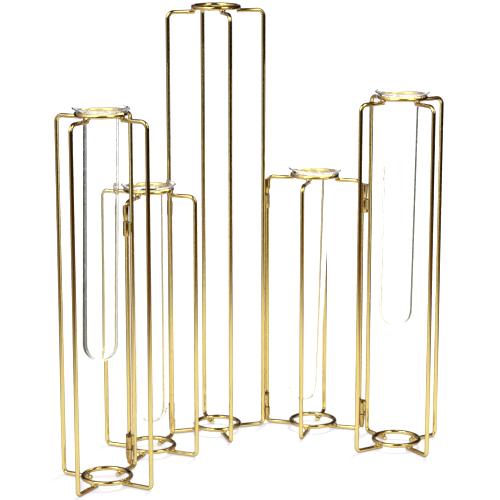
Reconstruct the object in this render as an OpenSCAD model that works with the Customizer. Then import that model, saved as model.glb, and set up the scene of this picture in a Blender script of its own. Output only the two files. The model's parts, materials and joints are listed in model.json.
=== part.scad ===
// Test tube vase: five wire frames hinged in a chain, with glass tubes hanging in their top rings.
// Left and right of a frame are along the chain; the front is inside the chain's curve.

/* [Wire] */
// Diameter of the round wire that legs and rings are bent from
wire_d = 3; // [2.4:0.1:3.4]

/* [Frames] */
// Distance between opposite legs of a frame, centre to centre
leg_span = 68; // [60:1:84]
// Height of the two short frames, table to top of ring
short_frame_h = 185; // [176:1:215]
// Height of the two end frames, table to top of ring
end_frame_h = 245; // [225:1:290]
// Height of the tall middle frame, table to top of ring
tall_frame_h = 302; // [260:1:360]
// Radius of a leg's top bend, on the wire's centre line
top_bend_r = 4.5; // [3:0.5:7]
// Radius of a leg's bottom bend, on the wire's centre line
bottom_bend_r = 3; // [2:0.5:6]

/* [Rings] */
// Hole through a ring
ring_hole_d = 28.4; // [27:0.1:31]
// How far a top arm's end reaches inwards past the ring's centre line
top_arm_reach = 0.7; // [0:0.1:1.4]
// How far a floor arm's end reaches inwards past the ring's centre line
floor_arm_reach = 3.5; // [0:0.5:5]

/* [Tubes] */
// Outside diameter of a tube
tube_d = 23; // [20:0.5:25]
// Thickness of the glass
glass_wall = 1.2; // [0.8:0.1:1.8]
// Outside diameter of the flared rim
rim_d = 37; // [36:0.5:42]
// Radius of the flare's underside, where it leaves the tube
flare_r = 5.5; // [4:0.5:6.5]
// Slope of the rim above level, in degrees
rim_slope = 20; // [12:1:30]
// Length of the tube in the left end frame
left_end_tube_len = 165; // [120:1:180]
// Length of the tube in the left short frame
left_short_tube_len = 166; // [120:1:175]
// Length of the tube in the right short frame
right_short_tube_len = 168; // [120:1:175]
// Length of the tube in the right end frame
right_end_tube_len = 162; // [120:1:180]
// Lean of the left end tube, its foot to the left, in degrees
left_end_lean = 1.1; // [0:0.1:3]
// Lean of the left short tube
left_short_lean = 0; // [0:0.1:3]
// Lean of the right short tube
right_short_lean = 2.6; // [0:0.1:3]
// Lean of the right end tube
right_end_lean = 0.8; // [0:0.1:3]

/* [Layout] */
// Heading of the left end frame: the way its left-to-right diagonal points, in degrees
left_end_heading = 58; // [50:0.5:75]
// Heading of the left short frame
left_short_heading = 64.5; // [50:0.5:75]
// Heading of the tall frame
tall_heading = 14; // [5:0.5:25]
// Heading of the right short frame
right_short_heading = -19; // [-30:0.5:-8]
// Heading of the right end frame
right_end_heading = -60; // [-75:0.5:-45]

/* [Hinges] */
// Diameter of a hinge knuckle
knuckle_d = 4.2; // [4:0.1:4.6]
// Length of a knuckle
knuckle_len = 10; // [9:0.5:12]
// Lower end of the tapered knuckle in a top hinge
top_taper_d = 3.4; // [3.2:0.1:4]
// Lower end of the tapered knuckle in a bottom hinge
bottom_taper_d = 2.4; // [2:0.1:4]
// Gap between the two knuckles of a hinge
knuckle_gap = 0.4; // [0.2:0.1:0.8]
// From the top of a short frame down to the parting line of its top hinges
top_hinge_drop = 16; // [15:0.5:30]
// Gap between the floor arms and the foot of a bottom hinge
bottom_hinge_gap = 0.3; // [0.2:0.1:8]
// Diameter of a hinge pin
pin_d = 2; // [1.6:0.1:2.2]
// How deep the pin sits in each knuckle
pin_depth = 7; // [5:0.5:8]
// Diameter of the weld bead between a knuckle and its leg
bead_d = 2.2; // [1.4:0.1:2.4]
// Length of the weld bead
bead_len = 7; // [4:0.5:8]

/* [Clearances] */
// Seam between welded wires
weld_seam = 0.03; // [0.01:0.01:0.1]
// Gap between a knuckle and a leg, bridged by the weld bead on its own leg
weld_gap = 0.2; // [0.15:0.05:0.4]
// Running clearance of a pin in the upper knuckle, on the radius
pin_clearance = 0.05; // [0.02:0.01:0.1]
// End play of a pin in its blind hole
pin_end_play = 0.3; // [0.1:0.1:1]
// Gap between the glass and the ring that it rests on
seat_gap = 0.05; // [0.02:0.01:0.2]

/* [Hidden] */
FRAMES = ["left_end", "left_short", "tall", "right_short", "right_end"];
HEIGHT = [end_frame_h, short_frame_h, tall_frame_h, short_frame_h, end_frame_h];
HEADING = [left_end_heading, left_short_heading, tall_heading, right_short_heading, right_end_heading];
TUBE_LEN = [left_end_tube_len, left_short_tube_len, 0, right_short_tube_len, right_end_tube_len];
LEAN = [left_end_lean, left_short_lean, 0, right_short_lean, right_end_lean];
TUBED = [0, 1, 3, 4]; // the tall frame's ring is empty

SIDES = ["left", "front", "right", "back"];
SIDE_TURN = [180, -90, 0, 90]; // turn of each leg from its frame's heading

JOINTS = ["left_outer", "left_inner", "right_inner", "right_outer"]; // joint j joins frames j and j + 1
SHORT_FRAME = [1, 1, 3, 3]; // the shorter of the joint's two frames
// Turn from a leg's outward direction to its hinge axis, for each frame's right and left leg
RIGHT_WELD = [130, 30, 30, -45, 0];
LEFT_WELD = [0, 20, 80, 100, 35];
BEAD_SIDE = [-1, 1, 1, 1]; // side of the joint's left leg that its weld beads lie on

LEVELS = ["bottom", "top"];
HINGE_PARTS = ["lower_knuckle", "upper_knuckle", "pin"];

wire_fn = 32;
glass_fn = 96;
foot_steps = 14; // straight steps in each arc of the glass's outline
flare_steps = 10;
edge_steps = 6;
gold = "#c9a227";
weld_gold = "#b08d2a";
steel = "#8f8a80";
clear_glass = [0.85, 0.93, 0.92, 0.35];
eps = 0.01; // cutters run this far past a face

wire_r = wire_d / 2;
leg_r = leg_span / 2;
ring_r = ring_hole_d / 2 + wire_r;
stack = wire_d + weld_seam; // from an arm's centre line up to its ring's

function dir(a) = [cos(a), sin(a)];

// Heights of a frame's wires, on their centre lines
floor_arm_z = wire_r;
bottom_ring_z = floor_arm_z + stack;
function top_ring_z(k) = HEIGHT[k] - wire_r;
function top_arm_z(k) = top_ring_z(k) - stack;

// Each frame's place follows from the one before it, through the hinge axis that they share
hinge_r = wire_r + knuckle_d / 2 + weld_gap; // from a leg's centre line to its hinge axis
function right_axis(k) = leg_r * dir(HEADING[k]) + hinge_r * dir(HEADING[k] + RIGHT_WELD[k]);
function left_axis(k) = leg_r * dir(HEADING[k] + 180) + hinge_r * dir(HEADING[k] + 180 + LEFT_WELD[k]);
function chained(k) = k == 0 ? [0, 0] : chained(k - 1) + right_axis(k - 1) - left_axis(k);

// The origin is under the middle of the box round all the legs
LEG_XY = [for (k = [0 : 4]) for (t = SIDE_TURN) chained(k) + leg_r * dir(HEADING[k] + t)];
LEG_X = [for (p = LEG_XY) p.x];
LEG_Y = [for (p = LEG_XY) p.y];
middle = [min(LEG_X) + max(LEG_X), min(LEG_Y) + max(LEG_Y)] / 2;
CENTRE = [for (k = [0 : 4]) chained(k) - middle];
AXIS = [for (j = [0 : 3]) CENTRE[j] + right_axis(j)];

// ---- frames ----

// A bend of the wire, quarter round, from straight down to inwards
module bend(r) {
    rotate_extrude(angle = 90, $fn = 64) translate([r, 0]) circle(d = wire_d, $fn = wire_fn);
}

// A straight stretch of wire along +Z
module straight(length) {
    cylinder(d = wire_d, h = length, $fn = wire_fn);
}

// One leg in the XZ plane, the frame's axis at x = 0: floor arm, bend, upright, bend and top arm
module leg(k) {
    top_z = top_arm_z(k);
    floor_arm_end = ring_r - floor_arm_reach;
    top_arm_end = ring_r - top_arm_reach;
    upright_h = top_z - top_bend_r - floor_arm_z - bottom_bend_r;
    color(gold) union() {
        translate([floor_arm_end, 0, floor_arm_z]) rotate([0, 90, 0])
            straight(leg_r - bottom_bend_r - floor_arm_end);
        translate([leg_r - bottom_bend_r, 0, floor_arm_z + bottom_bend_r]) rotate([-90, 0, 0])
            bend(bottom_bend_r);
        translate([leg_r, 0, floor_arm_z + bottom_bend_r]) straight(upright_h);
        translate([leg_r - top_bend_r, 0, top_z - top_bend_r]) rotate([90, 0, 0]) bend(top_bend_r);
        translate([top_arm_end, 0, top_z]) rotate([0, 90, 0])
            straight(leg_r - top_bend_r - top_arm_end);
    }
}

// A closed wire ring about the frame's axis
module ring(z) {
    color(gold) translate([0, 0, z]) rotate_extrude($fn = glass_fn)
        translate([ring_r, 0]) circle(d = wire_d, $fn = wire_fn);
}

// Puts a frame's own piece at the frame's place, turned from its heading
module in_frame(k, turn = 0) {
    translate([CENTRE[k].x, CENTRE[k].y, 0]) rotate([0, 0, HEADING[k] + turn]) children();
}

// ---- glass ----

tube_r = tube_d / 2;
bore_r = tube_r - glass_wall;
flare_turn = 90 - rim_slope;
seat = wire_r + seat_gap; // the glass passes this far from the ring wire's centre
// Where the arc of the flare's underside runs into the straight rim; heights are above the ring's centre
arc_end_r = tube_r + flare_r * (1 - cos(flare_turn));
rests_on_rim = arc_end_r <= ring_r - seat * sin(rim_slope);
arc_z_on_rim = (seat + (arc_end_r - ring_r) * sin(rim_slope)) / cos(rim_slope) - flare_r * sin(flare_turn);
arc_z_on_arc = -sqrt(pow(flare_r - seat, 2) - pow(tube_r + flare_r - ring_r, 2));
arc_z = rests_on_rim ? arc_z_on_rim : arc_z_on_arc;
arc_end = [arc_end_r, arc_z + flare_r * sin(flare_turn)];
flare_centre = [tube_r + flare_r, arc_z];
// Middle of the glass along the straight rim, from the arc to the round edge
rim_start = arc_end + glass_wall / 2 * dir(rim_slope + 90);
rim_len = (rim_d / 2 - glass_wall / 2 - rim_start.x) / cos(rim_slope);
rim_end = rim_start + rim_len * dir(rim_slope);
rim_top = rim_end.y + glass_wall / 2;

function arc(centre, r, from, to, steps) =
    [for (i = [0 : steps]) centre + r * dir(from + (to - from) * i / steps)];

// Half section of the glass, up its outside and back down its bore, with its round foot's centre at foot_z
function glass_section(foot_z) = concat(
    arc([0, foot_z], tube_r, -90, 0, foot_steps),
    arc(flare_centre, flare_r, 180, 180 - flare_turn, flare_steps),
    arc(rim_end, glass_wall / 2, rim_slope - 90, rim_slope + 90, edge_steps),
    arc(flare_centre, flare_r + glass_wall, 180 - flare_turn, 180, flare_steps),
    arc([0, foot_z], bore_r, 0, -90, foot_steps)
);

// One tube, hanging by its flare from the frame's top ring and leaning to the left about the ring's middle
module tube(k) {
    lean_lift = ring_r * sin(LEAN[k]); // keeps the low side of the flare off the ring
    foot_z = rim_top - TUBE_LEN[k] + tube_r;
    color(clear_glass) translate([CENTRE[k].x, CENTRE[k].y, top_ring_z(k) + lean_lift])
        rotate([0, LEAN[k], 0]) rotate_extrude($fn = glass_fn) polygon(glass_section(foot_z));
}

// ---- hinges ----

knuckle_r = knuckle_d / 2;
pin_r = pin_d / 2;
bead_r = bead_d / 2;
bead_bite = bead_r / 2; // how far the bead sinks into knuckle and leg
bead_from_axis = knuckle_r + bead_r - bead_bite;
bead_from_leg = wire_r + bead_r - bead_bite;
// Angle at the hinge axis between the leg and the bead, from the triangle of the three centres
bead_turn = acos((hinge_r * hinge_r + bead_from_axis * bead_from_axis - bead_from_leg * bead_from_leg)
    / (2 * hinge_r * bead_from_axis));

top_hinge_z = short_frame_h - top_hinge_drop;
bottom_hinge_z = wire_d + bottom_hinge_gap + knuckle_len + knuckle_gap / 2;
HINGE_Z = [bottom_hinge_z, top_hinge_z]; // height of the parting line at each level
TAPER_D = [bottom_taper_d, top_taper_d];

// The frame that holds a knuckle: the short frame has the top hinge's upper and the bottom hinge's lower
function neighbour(j) = 2 * j + 1 - SHORT_FRAME[j];
function holder(j, level, upper) = (level == 1) == upper ? SHORT_FRAME[j] : neighbour(j);
// Direction from a hinge axis to the leg of frame k that its knuckle is welded to
function to_leg(j, k) = k == j ? HEADING[k] + RIGHT_WELD[k] + 180 : HEADING[k] + LEFT_WELD[k];
function bead_side(j, k) = k == j ? BEAD_SIDE[j] : -BEAD_SIDE[j];

// A round-ended rod along +Z, from z = 0
module round_rod(r, length) {
    translate([0, 0, r]) cylinder(r = r, h = length - 2 * r);
    translate([0, 0, r]) sphere(r = r);
    translate([0, 0, length - r]) sphere(r = r);
}

// A knuckle along +Z from z = 0, with its weld bead at angle a
module knuckle(low_d, a) {
    cylinder(d1 = low_d, d2 = knuckle_d, h = knuckle_len, $fn = wire_fn);
    rotate([0, 0, a]) translate([bead_from_axis, 0, knuckle_len - bead_len - bead_bite])
        round_rod(bead_r, bead_len, $fn = wire_fn);
}

// A knuckle of joint j in place, its pin hole opening at the parting line and its bead trimmed to the leg
module hinge_knuckle(j, level, upper) {
    k = holder(j, level, upper);
    low_d = k == SHORT_FRAME[j] ? TAPER_D[level] : knuckle_d;
    z = HINGE_Z[level] + (upper ? knuckle_gap / 2 : -knuckle_gap / 2 - knuckle_len);
    color(weld_gold) difference() {
        translate([AXIS[j].x, AXIS[j].y, z]) difference() {
            knuckle(low_d, to_leg(j, k) + bead_side(j, k) * bead_turn);
            translate([0, 0, upper ? -eps : knuckle_len - pin_depth])
                cylinder(r = upper ? pin_r + pin_clearance : pin_r, h = pin_depth + eps, $fn = wire_fn);
        }
        in_frame(k, k == j ? 0 : 180) leg(k);
    }
}

// The pin is pressed into the lower knuckle and turns in the upper one
module hinge_pin(j, level) {
    low_z = HINGE_Z[level] - knuckle_gap / 2 - pin_depth;
    color(steel) translate([AXIS[j].x, AXIS[j].y, low_z])
        cylinder(r = pin_r, h = 2 * pin_depth + knuckle_gap - pin_end_play, $fn = wire_fn);
}

// ---- the assembly ----

for (k = [0 : 4]) {
    for (s = [0 : 3])
        in_frame(k, SIDE_TURN[s]) leg(k);
    in_frame(k) ring(bottom_ring_z);
    in_frame(k) ring(top_ring_z(k));
}
for (k = TUBED)
    tube(k);
for (j = [0 : 3]) for (level = [0, 1]) {
    hinge_knuckle(j, level, false);
    hinge_knuckle(j, level, true);
    hinge_pin(j, level);
}
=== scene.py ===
"""Test tube vase: five wire frames hinged in a chain, with glass tubes hanging in four of their top rings."""

import json
import math
import random

import bpy
from mathutils import Matrix, Vector

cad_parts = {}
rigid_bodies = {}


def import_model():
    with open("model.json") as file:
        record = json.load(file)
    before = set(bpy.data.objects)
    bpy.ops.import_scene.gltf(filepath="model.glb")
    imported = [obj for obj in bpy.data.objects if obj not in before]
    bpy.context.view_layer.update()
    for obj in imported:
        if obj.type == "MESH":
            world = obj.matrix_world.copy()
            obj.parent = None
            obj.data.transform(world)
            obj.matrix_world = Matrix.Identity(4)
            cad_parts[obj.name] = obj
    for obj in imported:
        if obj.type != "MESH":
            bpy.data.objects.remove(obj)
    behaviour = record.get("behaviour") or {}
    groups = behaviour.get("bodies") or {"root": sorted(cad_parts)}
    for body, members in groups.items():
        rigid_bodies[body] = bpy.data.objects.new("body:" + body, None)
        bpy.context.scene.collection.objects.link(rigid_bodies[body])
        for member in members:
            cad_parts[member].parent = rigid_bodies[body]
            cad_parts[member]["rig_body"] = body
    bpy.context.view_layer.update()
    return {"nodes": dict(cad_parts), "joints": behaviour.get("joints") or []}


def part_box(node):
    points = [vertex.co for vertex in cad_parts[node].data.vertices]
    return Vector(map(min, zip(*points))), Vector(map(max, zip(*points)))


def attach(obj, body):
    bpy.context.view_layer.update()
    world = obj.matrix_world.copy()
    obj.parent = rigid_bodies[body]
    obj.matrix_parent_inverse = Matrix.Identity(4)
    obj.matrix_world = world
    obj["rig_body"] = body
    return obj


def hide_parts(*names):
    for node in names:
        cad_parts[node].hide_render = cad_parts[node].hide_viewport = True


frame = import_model()
random.seed(11)


# ---- camera ----
# The photograph was taken with a long lens from 1.3 m in front, a little above the vase and just left of its middle.
# Place, tilt and lens were fitted to it, so that the edges of the wires fall where they do there.

bpy.ops.object.camera_add(
    location=(-0.06967, -1.23348, 0.4129),
    rotation=(math.radians(77.631), 0, math.radians(-3.093)),
)
camera = bpy.context.object
camera.data.lens = 135.53
camera.data.sensor_width = 36
bpy.context.scene.camera = camera
bpy.context.scene.view_settings.view_transform = "Standard"


# ---- studio ----
# A sheet of white paper under four soft lamps, in a room that only metal and glass show. It is pale on the left, dark
# in front and on the right, and white behind, so polished wire gets its light, brown and dark lines.


def linear(hex_colour):
    """An sRGB colour such as "#f0df8e" as linear red, green, blue and alpha."""
    parts = [int(hex_colour[i : i + 2], 16) / 255 for i in (1, 3, 5)]
    return [c / 12.92 if c <= 0.04045 else ((c + 0.055) / 1.055) ** 2.4 for c in parts] + [1]


def add_node(tree, kind, inputs=None, stops=(), **options):
    """Adds a node with its options. Each named input is set, or linked where an output is given, and a colour ramp
    gets its (place, sRGB hex colour) stops."""
    new = tree.nodes.new("ShaderNode" + kind)
    for name, value in options.items():
        setattr(new, name, value)
    for name, value in (inputs or {}).items():
        if isinstance(value, bpy.types.NodeSocket):
            tree.links.new(value, new.inputs[name])
        else:
            new.inputs[name].default_value = value
    if stops:
        elements = new.color_ramp.elements
        elements.remove(elements[-1])
        elements[0].position = stops[0][0]
        elements[0].color = linear(stops[0][1])
        for place, colour in stops[1:]:
            elements.new(place).color = linear(colour)
    return new


def new_material(name):
    """A material, and its empty node tree."""
    material = bpy.data.materials.new(name)
    material.use_nodes = True
    material.node_tree.nodes.clear()
    return material, material.node_tree


def seen_directly(tree):
    """1 for what the camera sees, also by way of metal or glass, and 0 for what only lights the vase."""
    path = add_node(tree, "LightPath").outputs
    total = add_node(tree, "Math", {0: path["Is Camera Ray"], 1: path["Is Glossy Ray"]}, operation="ADD")
    total = add_node(tree, "Math", {0: total.outputs[0], 1: path["Is Transmission Ray"]}, operation="ADD")
    return add_node(tree, "Math", {0: total.outputs[0], 1: 1.0}, operation="MINIMUM").outputs[0]


# Beyond everything else the room is plain white, and lights the vase half as much as it looks
ROOM_LIGHT = 0.5

world = bpy.data.worlds.new("white_room")
bpy.context.scene.world = world
world.use_nodes = True
tree = world.node_tree
tree.nodes.clear()
strength = add_node(tree, "MapRange", {"Value": seen_directly(tree), "To Min": ROOM_LIGHT, "To Max": 1.0})
background = add_node(tree, "Background", {"Color": linear("#ffffff"), "Strength": strength.outputs[0]})
add_node(tree, "OutputWorld", {"Surface": background.outputs[0]})

# Matt white paper without any grain. It sends the lamps' light back up to the vase. Where it is seen it also glows to
# just under white, so that only the crisp shadows close to the feet show. The glow rises away from the vase, where
# the lamps reach less.
GLOW_RISES = (0.3, 1.2)  # distances over which the glow rises
GLOW_FAR = 1.8

paper, tree = new_material("white_paper")
lit = add_node(tree, "BsdfDiffuse", {"Color": linear("#e7e7e7")})
shaded = add_node(tree, "BsdfDiffuse", {"Color": linear("#8e8e7c")})
place = add_node(tree, "TexCoord").outputs["Object"]
reach = add_node(tree, "VectorMath", {0: place}, operation="LENGTH").outputs["Value"]
near, far = GLOW_RISES
inputs = {"Value": reach, "From Min": near, "From Max": far, "To Min": 1.0, "To Max": GLOW_FAR}
sweep = add_node(tree, "MapRange", inputs)
glow = add_node(tree, "Emission", {"Color": linear("#ccccda"), "Strength": sweep.outputs[0]})
shown = add_node(tree, "AddShader", {0: shaded.outputs[0], 1: glow.outputs[0]})
mix = add_node(tree, "MixShader", {0: seen_directly(tree), 1: lit.outputs[0], 2: shown.outputs[0]})
add_node(tree, "OutputMaterial", {"Surface": mix.outputs[0]})

bpy.ops.object.select_all(action="DESELECT")
bpy.ops.mesh.primitive_grid_add(x_subdivisions=8, y_subdivisions=8, size=8)
floor = bpy.context.object
floor.name = "paper_floor"
floor.data.materials.append(paper)

# Square soft lamps. The small one behind draws the crisp shadows towards the front, and the front ones are also seen
# as soft highlights in the wire.
LAMPS = {  # place, width, power, and whether metal mirrors it
    "overhead_softbox": ((-0.1, 0.35, 1.6), 1.5, 8, False),
    "back_softbox": ((0.46, 1.0, 1.25), 0.4, 44, False),
    "front_softbox": ((-0.75, -0.8, 1.2), 1.0, 8, True),
    "right_softbox": ((0.75, -0.7, 1.2), 0.6, 3, True),
}
LAMPS_FACE = Vector((0, 0, 0.12))

for name, (place, width, power, mirrored) in LAMPS.items():
    bpy.ops.object.light_add(type="AREA", location=place)
    lamp = bpy.context.object
    lamp.name = name
    lamp.data.size = width
    lamp.data.energy = power
    lamp.rotation_euler = (Vector(place) - LAMPS_FACE).to_track_quat("Z", "Y").to_euler()
    lamp.visible_glossy = mirrored

# The room beyond the paper: a table under it and a dome of walls and ceiling. Colours run round the Z axis from -X by
# the front and +X to the back. White sheets hang on the walls at the left and at the front's right, above a dark
# horizon and below a dark ceiling.
ROOM_R = 3.0
PAPER_EDGES = [  # axis, which way along it, and where the paper starts to fade out and is gone
    ("X", -1, 0.2, 0.45),
    ("X", 1, 0.18, 0.45),
    ("Y", -1, 0.2, 0.52),
]
TABLE_FADES = (0.5, 1.1)  # distances over which the table turns into the horizon
SHEETS_Z = (0.35, 0.9)  # heights over which the horizon turns into the sheets
CEILING_Z = (2.1, 2.45)
SHEET_LIGHT = 1.8
CEILING = "#3c2e14"
BLACK = "#2a1b00"
HORIZON = [
    (0.0, "#b4b2bc"),
    (0.06, "#b0aab0"),
    (0.1, "#9c8c80"),
    (0.145, "#6e4a26"),
    (0.18, BLACK),
    (0.63, BLACK),
    (0.69, "#a09890"),
    (0.72, "#f4f4f4"),
    (0.8, "#f4f4f4"),
    (0.84, "#b4b2bc"),
]
TABLE = [
    (0.0, "#b4b2bc"),
    (0.08, "#9c948c"),
    (0.15, "#6e451c"),
    (0.6, "#6e451c"),
    (0.7, "#a09890"),
    (0.85, "#b4b2bc"),
]
SHEETS = [
    (0.0, "#d4d2e0"),
    (0.165, "#e4e2ec"),
    (0.195, "#3c3010"),
    (0.31, "#3c3010"),
    (0.335, "#e0dcd8"),
    (0.4, "#e0dcd8"),
    (0.44, "#5c4828"),
    (0.58, "#38280e"),
    (0.84, "#4c4028"),
    (0.9, "#a09ca0"),
]
SMOOTH = {"interpolation_type": "SMOOTHSTEP"}  # a fade that starts and ends softly

room_floor, tree = new_material("room_floor")
place = add_node(tree, "TexCoord").outputs["Object"]
apart = add_node(tree, "SeparateXYZ", {0: place})
cover = 0.0
for axis, way, starts, ends in PAPER_EDGES:
    beyond = add_node(tree, "Math", {0: apart.outputs[axis], 1: way}, operation="MULTIPLY")
    off = add_node(tree, "MapRange", {"Value": beyond.outputs[0], "From Min": starts, "From Max": ends}, **SMOOTH)
    cover = add_node(tree, "Math", {0: off.outputs[0], 1: cover}, operation="MAXIMUM").outputs[0]
reach = add_node(tree, "VectorMath", {0: place}, operation="LENGTH").outputs["Value"]
near, far = TABLE_FADES
fade = add_node(tree, "MapRange", {"Value": reach, "From Min": near, "From Max": far}, **SMOOTH)
turn = add_node(tree, "TexGradient", {"Vector": place}, gradient_type="RADIAL").outputs["Fac"]
table = add_node(tree, "ValToRGB", {"Fac": turn}, TABLE)
horizon = add_node(tree, "ValToRGB", {"Fac": turn}, HORIZON)
inputs = {"Factor": fade.outputs[0], "A": table.outputs["Color"], "B": horizon.outputs["Color"]}
tone = add_node(tree, "Mix", inputs, data_type="RGBA").outputs["Result"]
shine = add_node(tree, "Emission", {"Color": tone, "Strength": 1.0})
clear = add_node(tree, "BsdfTransparent")
mix = add_node(tree, "MixShader", {0: cover, 1: clear.outputs[0], 2: shine.outputs[0]})
add_node(tree, "OutputMaterial", {"Surface": mix.outputs[0]})

room_dome, tree = new_material("room_dome")
place = add_node(tree, "TexCoord").outputs["Object"]
height = add_node(tree, "SeparateXYZ", {0: place}).outputs["Z"]
turn = add_node(tree, "TexGradient", {"Vector": place}, gradient_type="RADIAL").outputs["Fac"]
horizon = add_node(tree, "ValToRGB", {"Fac": turn}, HORIZON)
sheets = add_node(tree, "ValToRGB", {"Fac": turn}, SHEETS)
low, high = SHEETS_Z
above = {"Value": height, "From Min": low, "From Max": high}
rise = add_node(tree, "MapRange", above, **SMOOTH)
light = add_node(tree, "MapRange", above | {"To Min": 1.0, "To Max": SHEET_LIGHT}, **SMOOTH)
inputs = {"Factor": rise.outputs[0], "A": horizon.outputs["Color"], "B": sheets.outputs["Color"]}
walls = add_node(tree, "Mix", inputs, data_type="RGBA").outputs["Result"]
low, high = CEILING_Z
top = add_node(tree, "MapRange", {"Value": height, "From Min": low, "From Max": high}, **SMOOTH)
inputs = {"Factor": top.outputs[0], "A": walls, "B": linear(CEILING)}
tone = add_node(tree, "Mix", inputs, data_type="RGBA").outputs["Result"]
shine = add_node(tree, "Emission", {"Color": tone, "Strength": light.outputs[0]})
add_node(tree, "OutputMaterial", {"Surface": shine.outputs[0]})


def only_mirrored(piece):
    """Leaves a stage piece to the rays that metal mirrors and glass bends."""
    piece.visible_camera = False
    piece.visible_diffuse = False
    piece.visible_transmission = False
    piece.visible_shadow = False


# The table lies a hair above the paper, so that mirrored rays meet it first
bpy.ops.object.select_all(action="DESELECT")
bpy.ops.mesh.primitive_circle_add(vertices=64, radius=ROOM_R, fill_type="NGON", location=(0, 0, 0.001))
bpy.context.object.name = "room_floor"
bpy.context.object.data.materials.append(room_floor)
only_mirrored(bpy.context.object)

bpy.ops.mesh.primitive_uv_sphere_add(segments=48, ring_count=24, radius=ROOM_R)
dome = bpy.context.object
dome.name = "room_dome"
bpy.ops.object.mode_set(mode="EDIT")
bpy.ops.mesh.bisect(plane_co=(0, 0, 0.0005), plane_no=(0, 0, 1), clear_inner=True)
bpy.ops.object.mode_set(mode="OBJECT")
dome.data.materials.append(room_dome)
only_mirrored(dome)

# Three matt black boards beside and between the tubes, unseen by the camera. The edges of the tubes bend them into
# view as thin dark lines. They are clear from behind, so that nothing shows of them where a tube looks back, and wire
# doesn't mirror the middle one, which stands among the frames.
BOARD_H = 0.3
BOARDS = {  # centre and width
    "left_board": ((-0.192, 0.03, 0.12), 0.13),
    "middle_board": ((-0.072, -0.013, 0.12), 0.016),
    "right_board": ((0.212, 0.095, 0.12), 0.12),
}

black_board, tree = new_material("black_board")
matt = add_node(tree, "BsdfDiffuse", {"Color": linear("#19191b")})
behind = add_node(tree, "NewGeometry").outputs["Backfacing"]
clear = add_node(tree, "BsdfTransparent")
mix = add_node(tree, "MixShader", {0: behind, 1: matt.outputs[0], 2: clear.outputs[0]})
add_node(tree, "OutputMaterial", {"Surface": mix.outputs[0]})

for name, (place, width) in BOARDS.items():
    bpy.ops.mesh.primitive_plane_add(size=1, location=place, rotation=(math.radians(90), 0, 0))
    board = bpy.context.object
    board.name = name
    board.dimensions = (width, BOARD_H, 0)
    board.data.materials.append(black_board)
    board.visible_camera = False
    board.visible_diffuse = False
    board.visible_glossy = name != "middle_board"
    board.visible_shadow = False


# ---- legs ----
# Twenty C-shaped legs of 3 mm low-carbon steel wire, drawn, straightened, cut to length on a shear and bent cold
# over a pin at both corners, then plated. The shear leaves a flat end with a slightly rounded edge.

WIRE_R = 0.0015
LEG_R = 0.034
RING_R = 0.0157
FLOOR_ARM_END = RING_R - 0.0035  # the arms run in a little past the middle line of their ring
TOP_ARM_END = RING_R - 0.0007
TOP_BEND = 0.0045
BOTTOM_BEND = 0.003
CUT_EDGE = 0.00025
SEAM = 0.00003
WIRE_STACK = 2 * WIRE_R + SEAM  # from an arm's centre line up to its ring's
FRAMES = {  # heading of each frame's left-to-right diagonal, and height
    "left_end": (58, 0.245),
    "left_short": (64.5, 0.185),
    "tall": (14, 0.302),
    "right_short": (-19, 0.185),
    "right_end": (-60, 0.245),
}
LEG_TURNS = {"left": 180, "front": -90, "right": 0, "back": 90}
GLOSS_PATCH = 0.006
GLOSS_SPREAD = (0.8, 1.25)  # least and most roughness of a patch, as shares of the mean
# The gold is painted browner and darker towards the edges of a wire: painted shade.
GOLD_AND_EDGE_SHADE = [(0.24, "#e4cf86"), (0.46, "#bc9148"), (0.72, "#62421a")]  # gold seen square on, and towards its edges


def add_plated(name, roughness, dent_width, dent_depth, gold_and_edge_shade=GOLD_AND_EDGE_SHADE):
    """Gold-toned electroplate on steel: a mirror bright metal whose plating evens out the drawing marks only partly,
    so its gloss varies softly from patch to patch, and shallow dents bend its reflections. Its colour turns browner
    and darker towards the edges of a piece: painted shade."""
    material, tree = new_material(name)
    place = add_node(tree, "TexCoord").outputs["Object"]
    patches = add_node(tree, "TexNoise", {"Vector": place, "Scale": 1 / GLOSS_PATCH, "Detail": 3.0})
    least, most = [roughness * share for share in GLOSS_SPREAD]
    inputs = {"Value": patches.outputs["Fac"], "From Min": 0.3, "From Max": 0.7, "To Min": least, "To Max": most}
    gloss = add_node(tree, "MapRange", inputs)
    dents = add_node(tree, "TexNoise", {"Vector": place, "Scale": 1 / dent_width, "Detail": 2.0})
    bump = add_node(tree, "Bump", {"Height": dents.outputs["Fac"], "Distance": dent_depth, "Strength": 1.0})
    # Painted shade: the colour darkens towards the edges of a piece.
    slant = add_node(tree, "LayerWeight", {"Blend": 0.5}).outputs["Facing"]
    shaded_gold = add_node(tree, "ValToRGB", {"Fac": slant}, gold_and_edge_shade)
    metal = add_node(
        tree,
        "BsdfPrincipled",
        {
            "Base Color": shaded_gold.outputs["Color"],
            "Metallic": 1.0,
            "Roughness": gloss.outputs[0],
            "Normal": bump.outputs["Normal"],
        },
    )
    add_node(tree, "OutputMaterial", {"Surface": metal.outputs[0]})
    return material


plated_wire = add_plated("gold_plated_wire", 0.1, 0.0025, 0.000004)


def start_edit(piece):
    """Selects only this piece, with its place in its mesh, and opens it for editing with all of it selected."""
    bpy.ops.object.select_all(action="DESELECT")
    bpy.context.view_layer.objects.active = piece
    piece.select_set(True)
    bpy.ops.object.transform_apply(location=True, rotation=True, scale=True)
    bpy.ops.object.mode_set(mode="EDIT")
    bpy.ops.mesh.select_all(action="SELECT")


def pick(piece, kind, test):
    """In edit mode, selects only the vertices or faces whose middle passes a test."""
    bpy.ops.mesh.select_all(action="DESELECT")
    bpy.ops.mesh.select_mode(type="VERT" if kind == "vertices" else "FACE")
    bpy.ops.object.mode_set(mode="OBJECT")
    for element in getattr(piece.data, kind):
        element.select = test(element.co if kind == "vertices" else element.center)
    bpy.ops.object.mode_set(mode="EDIT")


def round_edge(piece, test, width):
    """In edit mode, rounds the loop of edges whose vertices pass a test."""
    pick(piece, "vertices", test)
    bpy.ops.mesh.select_mode(type="EDGE")
    bpy.ops.mesh.bevel(offset=width, segments=2, affect="EDGES")


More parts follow.
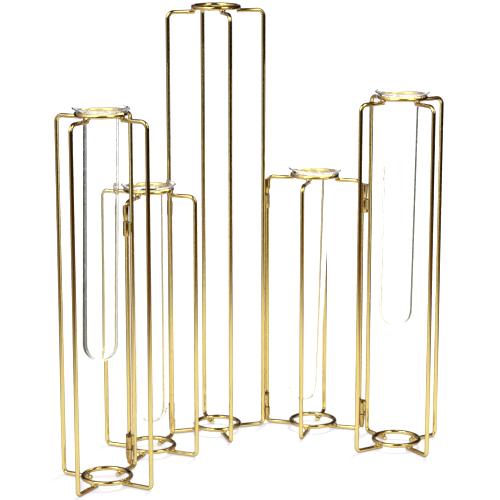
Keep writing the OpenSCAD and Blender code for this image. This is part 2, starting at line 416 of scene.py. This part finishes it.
def extrude(offset):
    """Pulls what is selected out by an offset in metres."""
    bpy.ops.mesh.extrude_region_move(TRANSFORM_OT_translate={"value": offset})


def close_edit(piece, name, material, smooth_angle=40):
    """Ends the edit with all faces outwards, smooth but for sharp edges, and gives the piece its name and finish."""
    bpy.ops.mesh.select_all(action="SELECT")
    bpy.ops.mesh.remove_doubles(threshold=1e-6)
    bpy.ops.mesh.normals_make_consistent(inside=False)
    bpy.ops.object.mode_set(mode="OBJECT")
    bpy.ops.object.shade_smooth_by_angle(angle=math.radians(smooth_angle))
    piece.name = name
    piece.data.name = name
    piece.data.materials.clear()
    piece.data.materials.append(material)


def copy_to(piece, name, place):
    """A copy of a piece with its own mesh, moved by a matrix."""
    bpy.ops.object.select_all(action="DESELECT")
    bpy.context.view_layer.objects.active = piece
    piece.select_set(True)
    bpy.ops.object.duplicate(linked=False)
    copy = bpy.context.object
    copy.name = name
    copy.data.name = name
    copy.matrix_world = place
    bpy.ops.object.transform_apply(location=True, rotation=True, scale=True)
    return copy


def remove(piece):
    """Deletes a piece that only its copies are wanted of."""
    bpy.data.objects.remove(piece, do_unlink=True)


def ring_middle(name):
    """The centre of a frame's top ring."""
    low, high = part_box(name + "_ring_top")
    return (low + high) / 2


def in_frame(name, turn=0.0, height=0.0):
    """Where a piece drawn about the Z axis goes in a frame: at its centre, turned from its heading."""
    middle = ring_middle(name)
    heading = math.radians(FRAMES[name][0] + turn)
    return Matrix.Translation((middle.x, middle.y, height)) @ Matrix.Rotation(heading, 4, "Z")


def belongs(piece, node):
    """The piece stands for a CAD node and moves with that node's body."""
    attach(piece, frame["nodes"][node]["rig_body"])
    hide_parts(node)


def bend_leg(height):
    """One leg in the XZ plane with its frame's axis at x = 0, drawn from the floor arm's end to the top arm's."""
    bpy.ops.object.select_all(action="DESELECT")
    bpy.ops.mesh.primitive_circle_add(
        vertices=24,
        radius=WIRE_R,
        fill_type="NGON",
        location=(FLOOR_ARM_END, 0, WIRE_R),
        rotation=(0, math.radians(90), 0),
    )
    leg = bpy.context.object
    start_edit(leg)
    top_arm_z = height - WIRE_R - WIRE_STACK
    extrude((LEG_R - BOTTOM_BEND - FLOOR_ARM_END, 0, 0))
    bpy.ops.mesh.spin(
        steps=10, angle=math.radians(90), center=(LEG_R - BOTTOM_BEND, 0, WIRE_R + BOTTOM_BEND), axis=(0, 1, 0)
    )
    steps = 6
    rise = top_arm_z - TOP_BEND - WIRE_R - BOTTOM_BEND
    for _ in range(steps):
        extrude((0, 0, rise / steps))
    bpy.ops.mesh.spin(
        steps=12, angle=math.radians(90), center=(LEG_R - TOP_BEND, 0, top_arm_z - TOP_BEND), axis=(0, 1, 0)
    )
    extrude((TOP_ARM_END - LEG_R + TOP_BEND, 0, 0))
    for end in (FLOOR_ARM_END, TOP_ARM_END):
        round_edge(leg, lambda p: abs(p.x - end) < 1e-5, CUT_EDGE)
    close_edit(leg, "leg", plated_wire)
    return leg


masters = {height: bend_leg(height) for height in sorted({height for _, height in FRAMES.values()})}
for name, (_, height) in FRAMES.items():
    for side, turn in LEG_TURNS.items():
        leg = copy_to(masters[height], f"{name}_wire_leg_{side}", in_frame(name, turn))
        belongs(leg, f"{name}_leg_{side}")
for leg in masters.values():
    remove(leg)


# ---- rings ----
# Ten rings of the same wire, rolled round a mandrel and butt-welded. The weld is ground flush above and below, but
# still stands 0.1 mm proud at the sides over a length of 3 mm. A ring lies on its frame's floor arms and on its top
# arms, and its weld lies at any angle between two of them.

SEAM_LEN = 0.003
SEAM_SWELL = 1.07
SEAM_TURNS = (20, 70)

bpy.ops.object.select_all(action="DESELECT")
bpy.ops.mesh.primitive_circle_add(
    vertices=24, radius=WIRE_R, fill_type="NOTHING", location=(RING_R, 0, 0), rotation=(math.radians(90), 0, 0)
)
ring = bpy.context.object
start_edit(ring)
bpy.ops.mesh.spin(steps=96, angle=math.radians(360), center=(0, 0, 0), axis=(0, 0, 1))
pick(ring, "vertices", lambda p: p.x > 0 and abs(p.y) < SEAM_LEN / 2)
bpy.ops.transform.resize(value=(SEAM_SWELL, 1, 1), center_override=(RING_R, 0, 0))
close_edit(ring, "ring", plated_wire)

for name, (_, height) in FRAMES.items():
    for level, z in (("bottom", WIRE_R + WIRE_STACK), ("top", height - WIRE_R)):
        loop = copy_to(ring, f"{name}_wire_ring_{level}", in_frame(name, random.uniform(*SEAM_TURNS), z))
        belongs(loop, f"{name}_ring_{level}")
remove(ring)


# ---- frame welds ----
# Where a ring crosses an arm the two wires were resistance welded: a little metal squeezed out round the contact
# and was plated over with the rest, so it shows as a small bright lump in the crotch of the wires.

NUGGET_R = 0.0019
NUGGET_SHAPE = (1.05, 1.2, 0.72)
NUGGET_SLIP = 0.0002

# Plating doesn't hide the rough skin of weld metal: its dents are finer and deeper, and glitter a little
plated_weld = add_plated("gold_plated_weld", 0.16, 0.0009, 0.00003)

bpy.ops.object.select_all(action="DESELECT")
bpy.ops.mesh.primitive_uv_sphere_add(segments=24, ring_count=14, radius=NUGGET_R)
nugget = bpy.context.object
start_edit(nugget)
bpy.ops.transform.resize(value=NUGGET_SHAPE, center_override=(0, 0, 0))
close_edit(nugget, "nugget", plated_weld, 180)

for name, (_, height) in FRAMES.items():
    for level, z in (("bottom", WIRE_R + WIRE_STACK / 2), ("top", height - WIRE_R - WIRE_STACK / 2)):
        lumps = []
        for turn in LEG_TURNS.values():
            slip_out = random.uniform(-NUGGET_SLIP, NUGGET_SLIP)
            slip_along = random.uniform(-NUGGET_SLIP, NUGGET_SLIP)
            contact = Matrix.Translation((RING_R + slip_out, slip_along, 0))
            lumps.append(copy_to(nugget, "lump", in_frame(name, turn, z) @ contact))
        for lump in lumps:
            lump.select_set(True)
        bpy.context.view_layer.objects.active = lumps[0]
        bpy.ops.object.join()
        welds = bpy.context.object
        welds.name = f"{name}_ring_welds_{level}"
        welds.data.name = welds.name
        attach(welds, frame["nodes"][f"{name}_ring_{level}"]["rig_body"])
remove(nugget)


# ---- hinge barrels ----
# Each joint has two weld-on barrel hinges. A hinge is two turned steel barrels, one over the other, each welded to
# its own frame's leg by a bead down one side. Those held by a short frame taper downwards.

BARREL_R = 0.0021
BARREL_LEN = 0.010
BARREL_GAP = 0.0004
BARREL_EDGE = 0.0004
TAPER_R = {"bottom": 0.0012, "top": 0.0017}
PIN_HOLE_R = 0.00105
PIN_HOLE_DEPTH = 0.0015
# The barrels' gold is painted darker and browner than the wire's all over, and darkest at the edges: painted shade.
BARREL_GOLD_AND_SHADE = [(0.12, "#d2b26c"), (0.36, "#96702f"), (0.66, "#3a260c")]
BEAD_R = 0.0011
BEAD_OUT = BARREL_R + BEAD_R / 2
BEAD_LOW = 0.0024  # from the barrel's low end
BEAD_LEN = 0.007
BEAD_TURN = 31  # degrees from the line to the leg
BEAD_RIPPLES = 6
BEAD_SHAPE = (0.97, 1.0, 0.95, 0.86)  # width along one ripple, as shares of the full width
BEAD_TAPER = 0.78
BEAD_TIP = 0.5
BEAD_UNEVEN = 0.97
HINGE_Z = {"bottom": 0.0135, "top": 0.169}
HOLDERS = {  # whose leg each barrel is on: the short frame's or its neighbour's
    ("bottom", "lower"): "short",
    ("bottom", "upper"): "neighbour",
    ("top", "lower"): "neighbour",
    ("top", "upper"): "short",
}
JOINTS = {  # the joint's left and right frame, and the side of its left leg that the beads lie on
    "left_outer": ("left_end", "left_short", -1),
    "left_inner": ("left_short", "tall", 1),
    "right_inner": ("tall", "right_short", 1),
    "right_outer": ("right_short", "right_end", 1),
}

# Turning left fine grooves, which make small dents in the barrels' reflections. Their gold is painted browner and
# darker than the wire's, darkest at the edges: painted shade.
plated_barrel = add_plated("gold_plated_barrel", 0.13, 0.0008, 0.000006, BARREL_GOLD_AND_SHADE)


def turn_barrel(low_r, upper):
    """A barrel along +Z from z = 0, with the mouth of its pin hole at the parting line."""
    bpy.ops.object.select_all(action="DESELECT")
    bpy.ops.mesh.primitive_circle_add(vertices=32, radius=low_r, fill_type="NGON")
    barrel = bpy.context.object
    start_edit(barrel)
    extrude((0, 0, BARREL_LEN))
    scale = BARREL_R / low_r
    bpy.ops.transform.resize(value=(scale, scale, 1), center_override=(0, 0, BARREL_LEN))
    for z in (0, BARREL_LEN):
        round_edge(barrel, lambda p: abs(p.z - z) < 1e-6, BARREL_EDGE)
    mouth_z = 0 if upper else BARREL_LEN
    pick(barrel, "polygons", lambda p: abs(p.z - mouth_z) < 1e-6 and p.xy.length < 1e-5)
    mouth_r = (low_r if upper else BARREL_R) - BARREL_EDGE
    bpy.ops.mesh.inset(thickness=mouth_r - PIN_HOLE_R, depth=0)
    extrude((0, 0, PIN_HOLE_DEPTH if upper else -PIN_HOLE_DEPTH))
    close_edit(barrel, "barrel", plated_barrel, 35)
    return barrel


def lay_bead():
    """A weld bead along +Z from z = 0: the puddle froze in ripples, each a little wider than the groove after it."""
    bpy.ops.object.select_all(action="DESELECT")
    bpy.ops.mesh.primitive_circle_add(vertices=20, radius=BEAD_R * BEAD_TIP, fill_type="NGON")
    bead = bpy.context.object
    start_edit(bead)
    rounds = len(BEAD_SHAPE) * BEAD_RIPPLES
    before = BEAD_TIP
    for i in range(rounds):
        extrude((0, 0, BEAD_LEN / rounds))
        taper = {0: BEAD_TAPER, rounds - 2: BEAD_TAPER, rounds - 1: BEAD_TIP}.get(i, 1.0)
        wide = BEAD_SHAPE[i % len(BEAD_SHAPE)] * taper * random.uniform(BEAD_UNEVEN, 1.0)
        scale = (wide / before, wide / before, 1)
        bpy.ops.transform.resize(value=scale, center_override=(0, 0, BEAD_LEN * (i + 1) / rounds))
        before = wide
    close_edit(bead, "bead", plated_weld, 180)
    return bead


bead = lay_bead()
masters = {
    (level, part): turn_barrel(TAPER_R[level] if holder == "short" else BARREL_R, part == "upper")
    for (level, part), holder in HOLDERS.items()
}
for joint in frame["joints"]:
    name = joint["name"].replace("_hinge", "")
    if name not in JOINTS:
        continue
    left, right, side = JOINTS[name]
    axis = Vector(joint["pos_m"]).xy
    short = left if FRAMES[left][1] < FRAMES[right][1] else right
    neighbour = right if short == left else left
    for (level, part), holder in HOLDERS.items():
        holder = short if holder == "short" else neighbour
        leg_side = "right" if holder == left else "left"
        leg_place = in_frame(holder, LEG_TURNS[leg_side]) @ Vector((LEG_R, 0, 0))
        to_leg = leg_place.xy - axis
        bead_turn = math.atan2(to_leg.y, to_leg.x) + math.radians(BEAD_TURN) * (side if holder == left else -side)
        low_z = HINGE_Z[level] + (BARREL_GAP / 2 if part == "upper" else -BARREL_GAP / 2 - BARREL_LEN)
        base = Matrix.Translation((axis.x, axis.y, low_z))
        barrel = copy_to(masters[level, part], f"{name}_{level}_{part}_barrel", base)
        out = Matrix.Rotation(bead_turn, 4, "Z") @ Matrix.Translation((BEAD_OUT, 0, BEAD_LOW))
        copy_to(bead, "weld", base @ out)  # the only piece selected now
        barrel.select_set(True)
        bpy.context.view_layer.objects.active = barrel
        bpy.ops.object.join()
        belongs(barrel, f"{name}_{level}_hinge_{part}_knuckle")
for master in (bead, *masters.values()):
    remove(master)


# ---- hinge pins ----
# A 2 mm pin of drawn steel, pressed into the lower barrel and turning in the upper one; only a ring of it shows
# in the parting gap, bare and grey where the plating has worn off.

DRAWN_LINE = 0.0003

# Drawing left fine lines along the pin, which make its grey shine uneven round it
drawn_steel, tree = new_material("drawn_steel_pin")
place = add_node(tree, "TexCoord").outputs["Object"]
stretch = add_node(tree, "Mapping", {"Vector": place, "Scale": (1, 1, 0.1)})
lines = add_node(tree, "TexNoise", {"Vector": stretch.outputs[0], "Scale": 1 / DRAWN_LINE, "Detail": 2.0})
gloss = add_node(tree, "MapRange", {"Value": lines.outputs["Fac"], "To Min": 0.25, "To Max": 0.45})
steel = add_node(
    tree, "BsdfPrincipled", {"Base Color": linear("#a8a39a"), "Metallic": 1.0, "Roughness": gloss.outputs[0]}
)
add_node(tree, "OutputMaterial", {"Surface": steel.outputs[0]})
for name, node in frame["nodes"].items():
    if name.endswith("_pin"):
        node.data.materials.clear()
        node.data.materials.append(drawn_steel)


# ---- test tubes ----
# Four stock test tubes of borosilicate glass, 23 mm across with a 1.2 mm wall, drawn, closed round at the foot and
# flared at the mouth in a flame, which also melted the cut edge round. Each hangs by its flare in a top ring.

TUBE_R = 0.0115
GLASS_WALL = 0.0012
FLARE_R = 0.0055
FLARE_Z = -0.00373  # where the flare's arc starts, from the ring's centre
RIM_SLOPE = math.radians(20)
RIM_LEN = 0.00378
RIM_TOP = 0.003689
MELTED_EDGE = GLASS_WALL * 0.48
DRAWN_WAVE = 0.004
WAVE_DEPTH = 0.00001
CAUGHT_AFTER = 3.5  # reflections
TUBES = {  # length, and lean of the foot to the left
    "left_end": (0.165, 1.1),
    "left_short": (0.166, 0),
    "right_short": (0.168, 2.6),
    "right_end": (0.162, 0.8),
}

# Clear, nearly colourless glass. Drawing left long faint waves, which make what it mirrors and bends waver a little.
# Light goes straight through it for shadows, which are pale in the photograph, and once a ray has been caught
# between its walls, so that the flares don't go black.
clear_glass, tree = new_material("borosilicate_glass")
place = add_node(tree, "TexCoord").outputs["Object"]
stretch = add_node(tree, "Mapping", {"Vector": place, "Scale": (1, 1, 0.04)})
waves = add_node(tree, "TexNoise", {"Vector": stretch.outputs[0], "Scale": 1 / DRAWN_WAVE, "Detail": 1.0})
bump = add_node(tree, "Bump", {"Height": waves.outputs["Fac"], "Distance": WAVE_DEPTH, "Strength": 1.0})
glass = add_node(
    tree,
    "BsdfPrincipled",
    {
        "Base Color": linear("#fbfcfb"),
        "Roughness": 0.0,
        "IOR": 1.47,
        "Transmission Weight": 1.0,
        "Normal": bump.outputs["Normal"],
    },
)
let_through = add_node(tree, "BsdfTransparent", {"Color": linear("#f9fafa")})
path = add_node(tree, "LightPath").outputs
caught = add_node(tree, "Math", {0: path["Glossy Depth"], 1: CAUGHT_AFTER}, operation="GREATER_THAN")
straight = add_node(tree, "Math", {0: path["Is Shadow Ray"], 1: caught.outputs[0]}, operation="MAXIMUM")
mix = add_node(tree, "MixShader", {0: straight.outputs[0], 1: glass.outputs[0], 2: let_through.outputs[0]})
add_node(tree, "OutputMaterial", {"Surface": mix.outputs[0]})


def blow_tube(length):
    """One tube about the Z axis, with z = 0 at the centre of the ring that it hangs in."""
    foot_z = RIM_TOP - length + TUBE_R
    bpy.ops.object.select_all(action="DESELECT")
    bpy.ops.mesh.primitive_circle_add(
        vertices=80, radius=TUBE_R, fill_type="NOTHING", location=(0, 0, foot_z), rotation=(math.radians(90), 0, 0)
    )
    tube = bpy.context.object
    start_edit(tube)
    pick(tube, "vertices", lambda p: p.x < -1e-6 or p.z > foot_z + 1e-6)
    bpy.ops.mesh.delete(type="VERT")
    pick(tube, "vertices", lambda p: p.z > foot_z - 1e-6)
    steps = 8
    for _ in range(steps):
        extrude((0, 0, (FLARE_Z - foot_z) / steps))
    bpy.ops.mesh.spin(
        steps=10, angle=math.radians(90) - RIM_SLOPE, center=(TUBE_R + FLARE_R, 0, FLARE_Z), axis=(0, -1, 0)
    )
    steps = 3
    for _ in range(steps):
        extrude((RIM_LEN / steps * math.cos(RIM_SLOPE), 0, RIM_LEN / steps * math.sin(RIM_SLOPE)))
    bpy.ops.mesh.select_all(action="SELECT")
    bpy.ops.mesh.spin(steps=96, angle=math.radians(360), center=(0, 0, 0), axis=(0, 0, 1))
    bpy.ops.mesh.select_all(action="SELECT")
    bpy.ops.mesh.remove_doubles(threshold=1e-6)
    bpy.ops.mesh.normals_make_consistent(inside=False)
    bpy.ops.object.mode_set(mode="OBJECT")
    wall = tube.modifiers.new("wall", "SOLIDIFY")
    wall.thickness = GLASS_WALL
    wall.offset = -1
    wall.use_even_offset = True
    bpy.ops.object.modifier_apply(modifier="wall")
    melted = tube.modifiers.new("melted_edge", "BEVEL")
    melted.width = MELTED_EDGE
    melted.segments = 4
    melted.limit_method = "ANGLE"
    melted.angle_limit = math.radians(60)
    bpy.ops.object.modifier_apply(modifier="melted_edge")
    bpy.ops.object.shade_smooth_by_angle(angle=math.radians(60))
    tube.data.materials.append(clear_glass)
    return tube


for name, (length, lean) in TUBES.items():
    master = blow_tube(length)
    lean = math.radians(lean)
    lift = Vector((0, 0, RING_R * math.sin(lean)))
    hang = Matrix.Translation(ring_middle(name) + lift) @ Matrix.Rotation(lean, 4, "Y")
    tube = copy_to(master, f"{name}_test_tube", hang)
    remove(master)
    belongs(tube, f"{name}_tube")
